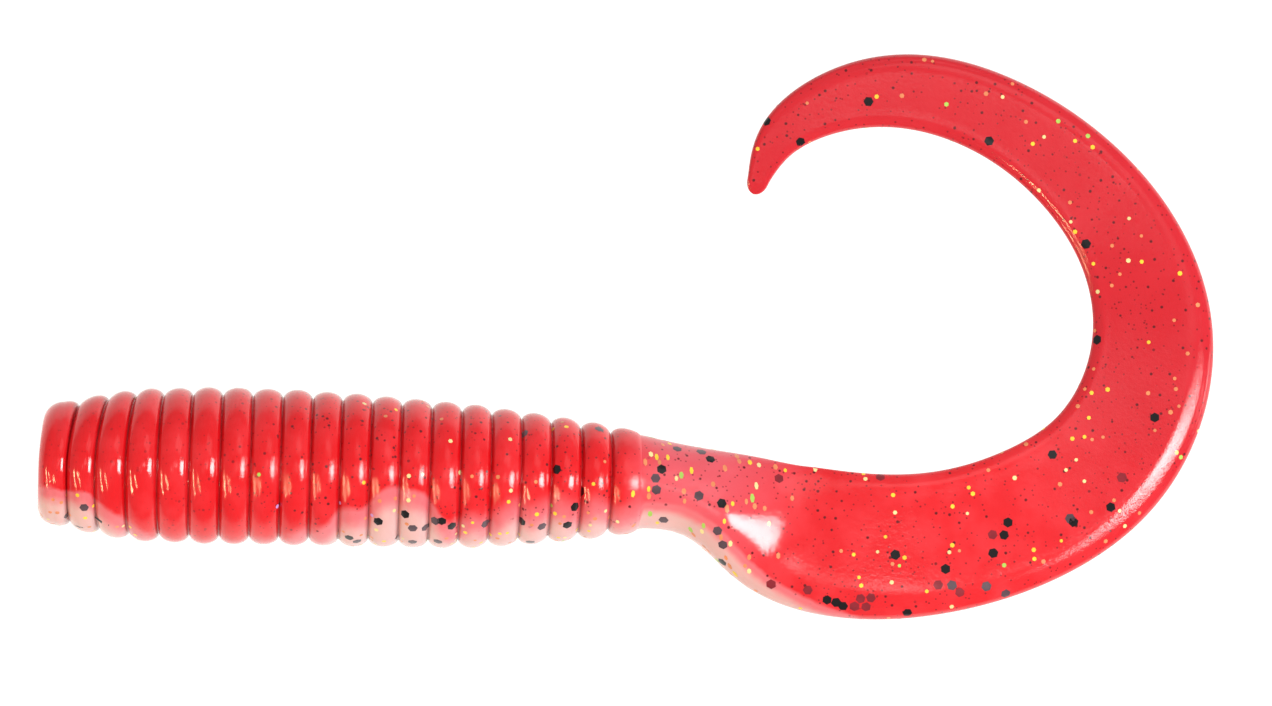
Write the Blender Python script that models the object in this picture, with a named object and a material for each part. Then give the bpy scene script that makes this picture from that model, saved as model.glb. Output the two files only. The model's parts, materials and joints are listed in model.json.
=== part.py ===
"""A soft plastic worm with a ribbed body and one curly tail, the kind anglers call a grub.

It lies on its flank: +X runs from the nose along the body, +Y is the back, +Z is up. The origin is
the centre of the flat nose face. The moulding flexes at each groove between two ribs and along the
thin tail, so each flexing length is a piece of its own, hung from an empty on its hinge. The ribs
and the neck are two shots of plastic, a red back and a pale belly, which meet along a plane.
"""

import math

import bmesh
import bpy
from mathutils import Matrix, Vector

MM = 0.001

# The ribbed body.
RIB_COUNT = 20
FIRST_RIB_LENGTH = 2.83 * MM
RIB_PITCH = 2.59 * MM
CREST_HEIGHT = 0.75 * MM
NOSE_FACE_RADIUS = 4.3 * MM
NOSE_ROUNDING = 1.0 * MM
NOSE_CROWN = 0.02 * MM
# Stations along the body: the distance from the nose, and the radius over the ribs' crests.
BODY_STATIONS = (
    (0.0, 5.05),
    (1.5, 5.35),
    (5.5, 6.2),
    (10.0, 6.66),
    (20.0, 6.78),
    (30.0, 6.56),
    (41.0, 5.92),
    (52.1, 4.4),
)

# The neck and the tail. Stations along their middle line: x, y, width and thickness.
TAIL_STATIONS = (
    (52.1, 0.0, 8.1, 8.1),
    (56.5, -0.6, 7.7, 7.4),
    (60.7, -2.0, 9.7, 5.9),
    (64.5, -3.7, 11.8, 4.0),
    (70.5, -4.9, 12.7, 2.8),
    (78.9, -4.3, 12.3, 2.3),
    (86.5, -1.6, 12.0, 2.1),
    (92.2, 2.6, 11.6, 2.0),
    (95.6, 8.6, 11.1, 2.0),
    (96.3, 15.0, 10.4, 1.9),
    (94.3, 21.6, 9.3, 1.8),
    (89.2, 28.1, 8.1, 1.7),
    (82.3, 32.7, 7.2, 1.6),
    (74.2, 34.7, 6.5, 1.5),
    (67.6, 33.4, 5.3, 1.4),
    (63.1, 30.0, 3.6, 1.2),
    (61.3, 25.4, 1.3, 0.8),
)
# The tail is thicker towards the outside of its curl, and thinner by as much towards the inside.
# Stations along the middle line: how far along it, and the share.
OUTER_THICKENING = (
    (0.0, 0.0),
    (4.0, 0.1),
    (10.0, 0.5),
    (16.0, 0.4),
    (26.0, 0.25),
    (88.0, 0.2),
    (105.2, 0.0),
)
# The tail sinks from the body's axis to the surface that the worm lies on.
SURFACE_Z = -6.7 * MM
TAIL_SINKS_FROM = 18.0 * MM
TAIL_SINKS_TO = 68.0 * MM
NECK_LENGTH = 6.4 * MM
TAIL_PIECES = 12
# How square the section is: 2 is an ellipse, more is flatter with rounder edges.
NECK_SQUARENESS = 2.0
TAIL_SQUARENESS = 3.0
SQUARENESS_LENGTH = 3.0 * NECK_LENGTH
FRAME_REACH = 0.1 * MM

# The pale belly shot fills the body below this share of its radius.
BELLY_LEVEL = 0.62
SHOT_GAP = 0.2 * MM

# The hinges, and the room that their pieces need.
GROOVE_GAP = 0.3 * MM
TAIL_GAP = 0.35 * MM
BEND_RANGE = (-5.0, 5.0)
SWAY_RANGE = (-12.0, 12.0)
CURL_RANGE = (-9.0, 4.0)

# How finely the round shapes are divided.
RIB_SIDES = 24
CREST_STEPS = 4
SECTION_SIDES = 16
RINGS_PER_PIECE = 4
SHARP_ANGLE = math.radians(40.0)
CUT_TOLERANCE = 1e-7
EMPTY_SIZE = 2.0 * MM

RED = (0.78, 0.035, 0.045, 1.0)
PALE_PINK = (0.80, 0.42, 0.40, 1.0)
BODY_ROUGHNESS = 0.22
TAIL_ROUGHNESS = 0.2


def clear_scene():
    for obj in list(bpy.data.objects):
        bpy.data.objects.remove(obj, do_unlink=True)


def plastic(name, colour, roughness):
    material = bpy.data.materials.new(name)
    material.use_nodes = True
    shader = material.node_tree.nodes["Principled BSDF"]
    shader.inputs["Base Color"].default_value = colour
    shader.inputs["Roughness"].default_value = roughness
    shader.inputs["Metallic"].default_value = 0.0
    material.diffuse_color = colour
    return material


class SmoothCurve:
    """A natural cubic spline through values at rising places."""

    def __init__(self, places, values):
        self.places = list(places)
        self.values = list(values)
        self.bends = self.second_derivatives()

    def second_derivatives(self):
        x, y = self.places, self.values
        last = len(x) - 1
        slope = [0.0] * (last + 1)
        load = [0.0] * (last + 1)
        for i in range(1, last):
            before = x[i] - x[i - 1]
            after = x[i + 1] - x[i]
            pivot = 2.0 * (before + after) - before * slope[i - 1]
            turn = (y[i + 1] - y[i]) / after - (y[i] - y[i - 1]) / before
            slope[i] = after / pivot
            load[i] = (6.0 * turn - before * load[i - 1]) / pivot
        bends = [0.0] * (last + 1)
        for i in range(last - 1, 0, -1):
            bends[i] = load[i] - slope[i] * bends[i + 1]
        return bends

    def at(self, place):
        i = 0
        while i < len(self.places) - 2 and place > self.places[i + 1]:
            i += 1
        span = self.places[i + 1] - self.places[i]
        b = (place - self.places[i]) / span
        a = 1.0 - b
        straight = a * self.values[i] + b * self.values[i + 1]
        bent = (a**3 - a) * self.bends[i] + (b**3 - b) * self.bends[i + 1]
        return straight + bent * span * span / 6.0


def smoothstep(low, high, value):
    share = min(max((value - low) / (high - low), 0.0), 1.0)
    return share * share * (3.0 - 2.0 * share)


BODY_RADIUS = SmoothCurve(
    [x * MM for x, _ in BODY_STATIONS],
    [radius * MM for _, radius in BODY_STATIONS],
)


THICKENING = SmoothCurve(
    [place * MM for place, _ in OUTER_THICKENING],
    [share for _, share in OUTER_THICKENING],
)


class TailLine:
    """The middle line of the neck and the tail, measured along its own length."""

    def __init__(self):
        places = [0.0]
        for start, end in zip(TAIL_STATIONS, TAIL_STATIONS[1:]):
            step = math.hypot(end[0] - start[0], end[1] - start[1]) * MM
            places.append(places[-1] + step)
        self.length = places[-1]
        columns = list(zip(*TAIL_STATIONS))
        self.x, self.y, self.width, self.thickness = (
            SmoothCurve(places, [value * MM for value in column]) for column in columns
        )

    def point(self, s):
        lying = SURFACE_Z + (1.0 + THICKENING.at(s)) * self.thickness.at(s) / 2.0
        z = lying * smoothstep(TAIL_SINKS_FROM, TAIL_SINKS_TO, s)
        return Vector((self.x.at(s), self.y.at(s), z))

    def frame(self, s):
        """The middle point, and the directions along, across and through the tail."""
        along = (self.point(s + FRAME_REACH) - self.point(s - FRAME_REACH)).normalized()
        across = Vector((-along.y, along.x, 0.0)).normalized()
        through = along.cross(across)
        return self.point(s), along, across, through

    def hinge_matrix(self, s):
        middle, along, across, through = self.frame(s)
        turn = Matrix((along, across, through)).transposed().to_4x4()
        return Matrix.Translation(middle) @ turn

    def section(self, s):
        """The outline of the section at s, as (across, through) pairs."""
        blend = smoothstep(0.0, SQUARENESS_LENGTH, s)
        squareness = NECK_SQUARENESS + (TAIL_SQUARENESS - NECK_SQUARENESS) * blend
        power = 2.0 / squareness
        half_width = self.width.at(s) / 2.0
        half_thickness = self.thickness.at(s) / 2.0
        outline = []
        for k in range(SECTION_SIDES):
            angle = 2.0 * math.pi * k / SECTION_SIDES
            c, d = math.cos(angle), math.sin(angle)
            side = math.copysign(abs(c) ** power, c)
            height = math.copysign(abs(d) ** power, d) * (1.0 - THICKENING.at(s) * side)
            outline.append((side * half_width, height * half_thickness))
        return outline


TAIL = TailLine()


def half_slope(degrees):
    return math.tan(math.radians(abs(degrees)) / 2.0)


def setback(kind, u, v):
    """How far an end face stands back from the hinge, so that its pieces can turn."""
    if kind == "bend":
        return GROOVE_GAP / 2.0 + abs(u) * half_slope(BEND_RANGE[1])
    if kind == "lift":
        return GROOVE_GAP / 2.0 + abs(v) * half_slope(BEND_RANGE[1])
    if kind == "sway":
        return TAIL_GAP / 2.0 + abs(v) * half_slope(SWAY_RANGE[1])
    if kind == "curl":
        limit = CURL_RANGE[1] if u > 0 else CURL_RANGE[0]
        return TAIL_GAP / 2.0 + abs(u) * half_slope(limit)
    return 0.0


def groove_x(number):
    """Where a groove lies: groove 1 is behind rib 1, and groove 20 is in front of the neck."""
    return FIRST_RIB_LENGTH + (number - 1) * RIB_PITCH


def groove_kind(number):
    return "bend" if number % 2 else "lift"


def tail_kind(number):
    return "sway" if number % 2 else "curl"


def tail_hinge_s(number):
    """Hinge 1 is between the neck and the tail, and each later one lies between two tail pieces."""
    return NECK_LENGTH + (number - 1) * (TAIL.length - NECK_LENGTH) / TAIL_PIECES


def rib_profile(number):
    """The rib's half section as (x, radius) pairs, from the middle of its front to that of its back."""
    back = groove_x(number)
    front = back - RIB_PITCH
    cone = half_slope(BEND_RANGE[1])
    crest = BODY_RADIUS.at((front + back) / 2.0)
    root = crest - CREST_HEIGHT
    x_back = back - GROOVE_GAP / 2.0 - root * cone
    if number == 1:
        profile = [(0.0, 0.0), (0.0, NOSE_FACE_RADIUS)]
        corner = crest - NOSE_ROUNDING
        for step in range(1, CREST_STEPS + 1):
            angle = math.pi / 2.0 * step / CREST_STEPS
            x = NOSE_ROUNDING * (1.0 - math.cos(angle))
            profile.append((x, corner + NOSE_ROUNDING * math.sin(angle)))
        middle = (profile[-1][0] + x_back) / 2.0
        profile.append((middle, crest + NOSE_CROWN))
        half = x_back - middle
        for step in range(1, CREST_STEPS // 2 + 1):
            angle = math.pi / 2.0 * step / (CREST_STEPS // 2)
            x = middle + half * math.sin(angle)
            profile.append((x, root + CREST_HEIGHT * math.cos(angle)))
        profile.append((back - GROOVE_GAP / 2.0, 0.0))
        return profile
    x_front = front + GROOVE_GAP / 2.0 + root * cone
    middle = (x_front + x_back) / 2.0
    half = (x_back - x_front) / 2.0
    profile = [(front + GROOVE_GAP / 2.0, 0.0)]
    for step in range(CREST_STEPS + 1):
        angle = math.pi * step / CREST_STEPS
        profile.append(
            (middle - half * math.cos(angle), root + CREST_HEIGHT * math.sin(angle))
        )
    profile.append((back - GROOVE_GAP / 2.0, 0.0))
    return profile


def turned(profile):
    """A closed solid turned about the X axis from a profile that starts and ends on it."""
    shape = bmesh.new()
    first = shape.verts.new((profile[0][0], 0.0, 0.0))
    last = shape.verts.new((profile[-1][0], 0.0, 0.0))
    rings = []
    for x, radius in profile[1:-1]:
        ring = []
        for k in range(RIB_SIDES):
            angle = 2.0 * math.pi * (k + 0.5) / RIB_SIDES
            ring.append(shape.verts.new((x, radius * math.cos(angle), radius * math.sin(angle))))
        rings.append(ring)
    for k in range(RIB_SIDES):
        after = (k + 1) % RIB_SIDES
        shape.faces.new((first, rings[0][k], rings[0][after]))
        shape.faces.new((last, rings[-1][after], rings[-1][k]))
        for near, far in zip(rings, rings[1:]):
            shape.faces.new((near[k], far[k], far[after], near[after]))
    bmesh.ops.recalc_face_normals(shape, faces=shape.faces)
    return shape


def cap(shape, ring, kind):
    """Closes an end with rungs that run along the hinge, so that its ridge stays straight."""
    count = len(ring)
    half = count // 2
    if kind in ("sway", "lift"):
        quarter = count // 4
        left = [ring[(quarter - i) % count] for i in range(1, half)]
        right = [ring[(quarter + i) % count] for i in range(1, half)]
        first, last = ring[quarter], ring[quarter + half]
    else:
        left = [ring[i] for i in range(1, half)]
        right = [ring[count - i] for i in range(1, half)]
        first, last = ring[0], ring[half]
    shape.faces.new((first, left[0], right[0]))
    for i in range(half - 2):
        shape.faces.new((left[i], left[i + 1], right[i + 1], right[i]))
    shape.faces.new((last, right[-1], left[-1]))


def lofted(start, end, start_kind, end_kind):
    """A closed solid along the tail line between two places on it, with hinge room at both ends."""
    shape = bmesh.new()
    rings = []
    for step in range(RINGS_PER_PIECE + 1):
        share = step / RINGS_PER_PIECE
        s = start + (end - start) * share
        middle, along, across, through = TAIL.frame(s)
        ring = []
        for u, v in TAIL.section(s):
            shift = setback(start_kind, u, v) * (1.0 - share) - setback(end_kind, u, v) * share
            place = middle + along * shift + across * u + through * v
            ring.append(shape.verts.new(place))
        rings.append(ring)
    for near, far in zip(rings, rings[1:]):
        for k in range(SECTION_SIDES):
            after = (k + 1) % SECTION_SIDES
            shape.faces.new((near[k], far[k], far[after], near[after]))
    cap(shape, rings[0], start_kind)
    cap(shape, rings[-1], end_kind)
    bmesh.ops.recalc_face_normals(shape, faces=shape.faces)
    return shape


def cut_off(shape, place, normal):
    """Keeps what lies behind the plane, and closes the cut."""
    geometry = shape.verts[:] + shape.edges[:] + shape.faces[:]
    cut = bmesh.ops.bisect_plane(
        shape, geom=geometry, plane_co=place, plane_no=normal, clear_outer=True, dist=CUT_TOLERANCE
    )
    edges = [item for item in cut["geom_cut"] if isinstance(item, bmesh.types.BMEdge)]
    bmesh.ops.contextual_create(shape, geom=edges)
    bmesh.ops.recalc_face_normals(shape, faces=shape.faces)
    return shape


class Hinge:
    """An empty on a hinge's axis, hung from the hinge before it, and its place in the world."""

    def __init__(self, name, parent, world):
        self.world = world
        self.empty = bpy.data.objects.new(name, None)
        self.empty.empty_display_size = EMPTY_SIZE
        bpy.context.scene.collection.objects.link(self.empty)
        hang(self.empty, parent, world)


def hang(obj, parent, world):
    if parent is None:
        obj.matrix_world = world
        return
    obj.parent = parent.empty
    obj.matrix_local = parent.world.inverted() @ world


def add_piece(name, shape, hinge, material):
    """Turns a shape drawn in place into an object whose origin is its hinge."""
    bmesh.ops.transform(shape, matrix=hinge.world.inverted(), verts=shape.verts)
    mesh = bpy.data.meshes.new(name)
    shape.to_mesh(mesh)
    shape.free()
    mesh.shade_smooth()
    mesh.set_sharp_from_angle(angle=SHARP_ANGLE)
    mesh.materials.append(material)
    obj = bpy.data.objects.new(name, mesh)
    bpy.context.scene.collection.objects.link(obj)
    hang(obj, hinge, hinge.world)


def add_two_shots(name, build, level, hinge, red, pale):
    """The back and the belly of one length, on either side of the plane where the shots meet."""
    up = Vector((0.0, 1.0, 0.0))
    back = cut_off(build(), up * (level + SHOT_GAP / 2.0), -up)
    belly = cut_off(build(), up * (level - SHOT_GAP / 2.0), up)
    add_piece(name + "_back", back, hinge, red)
    add_piece(name + "_belly", belly, hinge, pale)


def add_body(red, pale):
    """The ribs, from the nose. It returns the hinge in front of the neck."""
    parent = Hinge("nose", None, Matrix.Identity(4))
    for number in range(1, RIB_COUNT + 1):
        crest = BODY_RADIUS.at(groove_x(number) - RIB_PITCH / 2.0)
        profile = rib_profile(number)
        add_two_shots(
            f"rib_{number:02d}",
            lambda: turned(profile),
            -BELLY_LEVEL * crest,
            parent,
            red,
            pale,
        )
        place = Matrix.Translation((groove_x(number), 0.0, 0.0))
        parent = Hinge(f"body_{groove_kind(number)}_{number:02d}", parent, place)
    return parent


def add_neck(parent, red, pale):
    radius = TAIL.width.at(NECK_LENGTH / 2.0) / 2.0
    middle = TAIL.point(NECK_LENGTH / 2.0)
    add_two_shots(
        "neck",
        lambda: lofted(0.0, NECK_LENGTH, groove_kind(RIB_COUNT), tail_kind(1)),
        middle.y - BELLY_LEVEL * radius,
        parent,
        red,
        pale,
    )


def add_tail(parent, material):
    for number in range(1, TAIL_PIECES + 1):
        start = tail_hinge_s(number)
        end = tail_hinge_s(number + 1)
        kind = tail_kind(number)
        end_kind = tail_kind(number + 1) if number < TAIL_PIECES else "tip"
        parent = Hinge(f"tail_{kind}_{number:02d}", parent, TAIL.hinge_matrix(start))
        shape = lofted(start, end, kind, end_kind)
        add_piece(f"tail_{number:02d}", shape, parent, material)


def main():
    clear_scene()
    red = plastic("red_back_plastic", RED, BODY_ROUGHNESS)
    pale = plastic("pale_belly_plastic", PALE_PINK, BODY_ROUGHNESS)
    tail_red = plastic("red_tail_plastic", RED, TAIL_ROUGHNESS)
    neck_hinge = add_body(red, pale)
    add_neck(neck_hinge, red, pale)
    add_tail(neck_hinge, tail_red)


main()
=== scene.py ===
"""The looks of the soft plastic worm: one glossy skin cut into a piece at every hinge, and its glitter."""

import json
import math
import random

import bpy
import numpy as np
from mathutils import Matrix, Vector
from mathutils.bvhtree import BVHTree

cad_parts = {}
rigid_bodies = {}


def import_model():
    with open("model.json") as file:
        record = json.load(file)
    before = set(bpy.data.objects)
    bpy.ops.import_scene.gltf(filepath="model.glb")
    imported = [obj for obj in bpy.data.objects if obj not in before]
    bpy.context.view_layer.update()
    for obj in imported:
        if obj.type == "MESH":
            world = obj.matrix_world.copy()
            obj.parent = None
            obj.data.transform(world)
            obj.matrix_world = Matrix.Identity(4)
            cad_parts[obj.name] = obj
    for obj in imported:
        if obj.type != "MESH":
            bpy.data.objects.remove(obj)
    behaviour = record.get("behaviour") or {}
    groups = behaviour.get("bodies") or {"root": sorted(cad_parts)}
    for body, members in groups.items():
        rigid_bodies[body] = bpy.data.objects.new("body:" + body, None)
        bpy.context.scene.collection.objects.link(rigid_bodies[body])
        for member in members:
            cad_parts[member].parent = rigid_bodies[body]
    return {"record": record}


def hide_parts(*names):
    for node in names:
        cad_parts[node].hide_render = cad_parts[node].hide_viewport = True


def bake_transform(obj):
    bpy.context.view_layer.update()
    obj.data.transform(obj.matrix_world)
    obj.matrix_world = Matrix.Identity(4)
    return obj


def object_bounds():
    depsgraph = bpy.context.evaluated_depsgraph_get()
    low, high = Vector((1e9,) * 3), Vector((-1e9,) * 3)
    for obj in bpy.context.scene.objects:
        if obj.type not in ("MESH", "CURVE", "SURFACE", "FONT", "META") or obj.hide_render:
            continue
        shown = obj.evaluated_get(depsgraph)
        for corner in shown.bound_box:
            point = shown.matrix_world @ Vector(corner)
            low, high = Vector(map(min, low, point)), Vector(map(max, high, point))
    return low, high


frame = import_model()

MM = 0.001
CAD_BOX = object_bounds()
JOINTS = frame["record"]["behaviour"]["joints"]

# ---------------------------------------------------------------- the moulding's shape, in millimetres
RIB_COUNT = 20
# How long the first rib is, and each of the others.
FIRST_RIB = 2.83
RIB_PITCH = 2.59
BODY_LENGTH = FIRST_RIB + (RIB_COUNT - 1) * RIB_PITCH
# Stations along the body: x and the radius over the ribs.
BODY_STATIONS = (
    (0.0, 5.05),
    (1.5, 5.35),
    (5.5, 6.22),
    (10.0, 6.66),
    (20.0, 6.78),
    (30.0, 6.56),
    (41.0, 5.92),
    (52.1, 4.4),
)
# Stations along the middle line of the neck and the tail: x, y, width and thickness.
TAIL_STATIONS = (
    (52.1, 0.0, 8.1, 8.1),
    (56.5, -0.6, 7.7, 7.4),
    (60.7, -2.0, 9.7, 5.9),
    (64.5, -3.7, 11.8, 4.0),
    (70.5, -4.9, 12.7, 2.8),
    (78.9, -4.3, 12.3, 2.3),
    (86.5, -1.6, 12.0, 2.1),
    (92.2, 2.6, 11.6, 2.0),
    (95.6, 8.6, 11.1, 2.0),
    (96.3, 15.0, 10.4, 1.9),
    (94.3, 21.6, 9.3, 1.8),
    (89.2, 28.1, 8.1, 1.7),
    (82.3, 32.7, 7.2, 1.6),
    (74.2, 34.7, 6.5, 1.5),
    (67.6, 33.4, 5.3, 1.4),
    (63.1, 30.0, 3.6, 1.2),
    (61.3, 25.4, 1.3, 0.8),
)
# The tail sinks from the body's axis to this level between these two lengths along it.
SURFACE_Z = -6.7
TAIL_SINKS = (18.0, 68.0)
# Across, a rib is an arc of a circle that ends in a narrow groove.
RIB_ROUNDING = 1.75
GROOVE_DEPTH = 0.16
GROOVE_SHARPNESS = 12
# The first rib has its crest a little behind its middle, and the rounded corner of the nose in front:
# how long the corner is, and how high.
FIRST_CREST = FIRST_RIB / 2.0 + 0.25
NOSE_CORNER = (1.5, 1.5)
# No two ribs are quite as high, and the last one's rear side drops by only this share of the others'.
RIB_VARIATION = 0.04
LAST_RIB_DROP = 0.42
# The blade is thicker towards its outer edge by this share, and thinner by as much towards its inner
# edge: how far along the tail, and the share.
OUTER_THICKENING = (
    (0.0, 0.0),
    (4.0, 0.1),
    (10.0, 0.5),
    (16.0, 0.4),
    (26.0, 0.25),
    (88.0, 0.2),
    (105.2, 0.0),
)
# The bead along the blade's outer edge: how far along the tail, its height and its distance from the edge.
BEAD_STATIONS = (
    (12.0, 0.0, 2.4),
    (30.0, 0.04, 2.4),
    (38.0, 0.14, 2.4),
    (45.5, 0.35, 2.4),
    (52.0, 0.24, 2.3),
    (58.0, 0.13, 2.1),
    (66.0, 0.13, 1.9),
    (88.0, 0.15, 1.8),
    (105.2, 0.0, 1.8),
)
# How far the bead reaches towards the edge, and towards the middle of the blade.
BEAD_REACHES = (1.2, 4.5)
# The crease outside the bead and the lip along the inner edge: height, distance from the edge, reach.
CREASE = (-0.03, 0.6, 0.15)
LIP = (0.07, 0.9, 0.45)
# The blade's rims rise and end between these lengths along the tail, and fade out this near to its edges.
RIMS_RISE = (12.0, 26.0)
RIMS_END = (88.0, 103.0)
EDGE_FADE = 0.3
# The tail's section is a superellipse: its power in the neck and in the blade, and where it changes.
NECK_POWER = 2.0
BLADE_POWER = 7.0
FLATTENING = (9.0, 28.0)
# The shoulder steps down a little more sharply than the stations say: how far along the tail, and how
# much thicker.
SHOULDER_END = 30.0
SHOULDER_STEP = (
    (0.0, 0.0),
    (4.5, 0.0),
    (8.6, 0.36),
    (12.6, -0.36),
    (17.5, 0.0),
    (SHOULDER_END, 0.0),
    (105.2, 0.0),
)
# The rounded tip: how long the stretch is that it takes from the tail, how far its rings reach, its point.
TIP_LENGTH = 1.2
TIP_REACH = 1.3
TIP_POINT = 1.32
# The ribs' planes lean back at the nose and forward at the neck, as the soft body settles: x, lean.
RIB_LEAN = (
    (0.0, 0.0),
    (2.83, -0.07),
    (12.0, -0.03),
    (28.0, 0.0),
    (40.0, 0.03),
    (52.1, 0.07),
)
# The lean dies out between these lengths along the tail.
LEAN_ENDS = (0.0, 5.0)
# How far the soft body bows sideways: x, y.
BODY_BOW = (
    (0.0, 0.06),
    (8.0, 0.13),
    (17.0, 0.3),
    (27.0, 0.27),
    (37.0, 0.06),
    (45.0, 0.0),
    (52.1, 0.0),
)
# One flank of the nose ribs sweeps back: x, how far at that flank.
NOSE_SWEEP = (
    (0.0, 0.5),
    (2.83, 0.62),
    (5.4, 0.5),
    (8.0, 0.26),
    (10.6, 0.07),
    (13.0, 0.0),
    (18.0, 0.0),
    (52.1, 0.0),
)
FLANK_Y = 6.0
SWEEP_POWER = 1.5

# How finely the skin is divided: points to a ring, rings to a rib, steps round the nose, along the first
# rib and round the tip, and millimetres between the tail's rings.
SIDES = 144
RINGS_PER_RIB = 24
NOSE_STEPS = 12
FIRST_RIB_STEPS = 14
TIP_STEPS = 9
TAIL_RING_STEP = 0.5
# The rings crowd towards the grooves: 0 is even, 1 is most crowded.
CROWDING = 0.55
# The rings on the flat face of the nose, as shares of its radius.
FACE_SHARES = (0.12, 0.35, 0.6, 0.8, 0.93)
# How many places along the tail are tried to find the one that is nearest to a hinge, or to a flake.
HINGE_TRIES = 2000
FLAKE_TRIES = 1200
rng = random.Random(7)


class SmoothCurve:
    """A natural cubic spline through values at rising places; both may be numpy arrays."""

    def __init__(self, places, values):
        self.x = np.array(places, float)
        self.y = np.array(values, float)
        n = len(self.x)
        h = np.diff(self.x)
        system = np.eye(n)
        turn = np.zeros(n)
        for i in range(1, n - 1):
            system[i, i - 1 : i + 2] = h[i - 1], 2.0 * (h[i - 1] + h[i]), h[i]
            rise = np.diff(self.y[i - 1 : i + 2]) / h[i - 1 : i + 1]
            turn[i] = 6.0 * (rise[1] - rise[0])
        self.bends = np.linalg.solve(system, turn)

    def __call__(self, place):
        place = np.asarray(place, float)
        i = np.clip(np.searchsorted(self.x, place, side="left") - 1, 0, len(self.x) - 2)
        span = self.x[i + 1] - self.x[i]
        b = (place - self.x[i]) / span
        a = 1.0 - b
        bent = (a**3 - a) * self.bends[i] + (b**3 - b) * self.bends[i + 1]
        return a * self.y[i] + b * self.y[i + 1] + bent * span * span / 6.0


def curves(stations):
    """One curve for each column of the stations after the first, which says how far along they are."""
    places, *columns = zip(*stations)
    return [SmoothCurve(places, column) for column in columns]


def smoothstep(low, high, value):
    share = np.clip((np.asarray(value, float) - low) / (high - low), 0.0, 1.0)
    return share * share * (3.0 - 2.0 * share)


def plateau(value, rise, fall, drop=1.0):
    """Rises smoothly from 0 to 1 over the one pair of values, and loses the drop over the other."""
    return smoothstep(*rise, value) * (1.0 - drop * smoothstep(*fall, value))


def ridge(distance, height, middle, reach):
    """A rounded ridge, or a groove where its height is below 0."""
    return height * np.exp(-(((distance - middle) / reach) ** 2))


def unit(v):
    return v / np.linalg.norm(v)


(body_radius,) = curves(BODY_STATIONS)
(rib_lean,) = curves(RIB_LEAN)
(body_bow,) = curves(BODY_BOW)
(nose_sweep,) = curves(NOSE_SWEEP)
(outer_thickening,) = curves(OUTER_THICKENING)
(shoulder_step,) = curves(SHOULDER_STEP)
bead_height, bead_distance = curves(BEAD_STATIONS)


class TailLine:
    """The middle line of the neck and the tail, measured along its own length from the last groove."""

    def __init__(self):
        stations = np.array(TAIL_STATIONS)
        steps = np.hypot(*np.diff(stations[:, :2], axis=0).T)
        places = np.concatenate([[0.0], np.cumsum(steps)])
        self.length = places[-1]
        self.x, self.y, self.width, self.thickness = (
            SmoothCurve(places, column) for column in stations.T
        )

    def point(self, s):
        lying = SURFACE_Z + (1.0 + outer_thickening(s)) * self.thickness(s) / 2.0
        z = lying * smoothstep(*TAIL_SINKS, s)
        return np.array([self.x(s), self.y(s), z])

    def frame(self, s):
        """The middle point, and the directions along, across (towards the inside) and through."""
        step = 0.1
        along = unit(self.point(s + step) - self.point(s - step))
        across = unit(np.array([-along[1], along[0], 0.0]))
        return self.point(s), along, across, np.cross(along, across)

    def nearest(self, x, y, tries):
        """How far along the worm the tail comes nearest to x and y, out of so many places."""
        tried = np.linspace(0.0, self.length, tries)
        gap = np.hypot(self.x(tried) - x, self.y(tried) - y)
        return BODY_LENGTH + tried[int(np.argmin(gap))]


TAIL = TailLine()


def hinge_places():
    """How far along the worm each hinge is, in order: 20 grooves, then the hinges of the tail."""
    places = []
    for number, joint in enumerate(JOINTS):
        x, y, _ = (v / MM for v in joint["pos_m"])
        places.append(x if number < RIB_COUNT else TAIL.nearest(x, y, HINGE_TRIES))
    return places


# ---------------------------------------------------------------- rings of the skin
ANGLES = 2.0 * np.pi * np.arange(SIDES) / SIDES


def swept_back(x, y):
    """How far the points at x and y of the body are swept back."""
    return float(nose_sweep(x)) * np.clip(y / FLANK_Y, 0.0, 1.0) ** SWEEP_POWER


def rib_ring(x, radius):
    """A ring round the body. Its points lean with the rib."""
    y = radius * np.cos(ANGLES)
    z = radius * np.sin(ANGLES)
    return np.stack([x + rib_lean(x) * z + swept_back(x, y), y + float(body_bow(x)), z], axis=1)


def rib_drop(t):
    """How far the surface lies below the crest, where t is -1 at one groove and 1 at the next."""
    aside = abs(t) * RIB_PITCH / 2.0
    arc = RIB_ROUNDING - math.sqrt(RIB_ROUNDING**2 - aside**2)
    return arc + GROOVE_DEPTH * abs(t) ** GROOVE_SHARPNESS


def nose_rings():
    """The flat face and its rounded corner."""
    corner_x, corner_r = NOSE_CORNER
    face = float(body_radius(corner_x)) - corner_r
    rings = [(0.0, rib_ring(0.0, face * share)) for share in FACE_SHARES]
    for step in range(NOSE_STEPS + 1):
        angle = math.pi / 2.0 * step / NOSE_STEPS
        x = corner_x * (1.0 - math.cos(angle))
        rings.append((x, rib_ring(x, face + corner_r * math.sin(angle))))
    return rings


def first_rib_rings():
    """The first rib from the nose's corner to the first groove. The rings crowd towards the groove."""
    rings = []
    corner_x, _ = NOSE_CORNER
    for step in range(1, FIRST_RIB_STEPS + 1):
        share = math.sin(math.pi / 2.0 * step / FIRST_RIB_STEPS)
        x = corner_x + (FIRST_RIB - corner_x) * share
        t = max(0.0, (x - FIRST_CREST) / (FIRST_RIB - FIRST_CREST))
        rings.append((x, rib_ring(x, float(body_radius(x)) - rib_drop(t))))
    return rings


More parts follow.
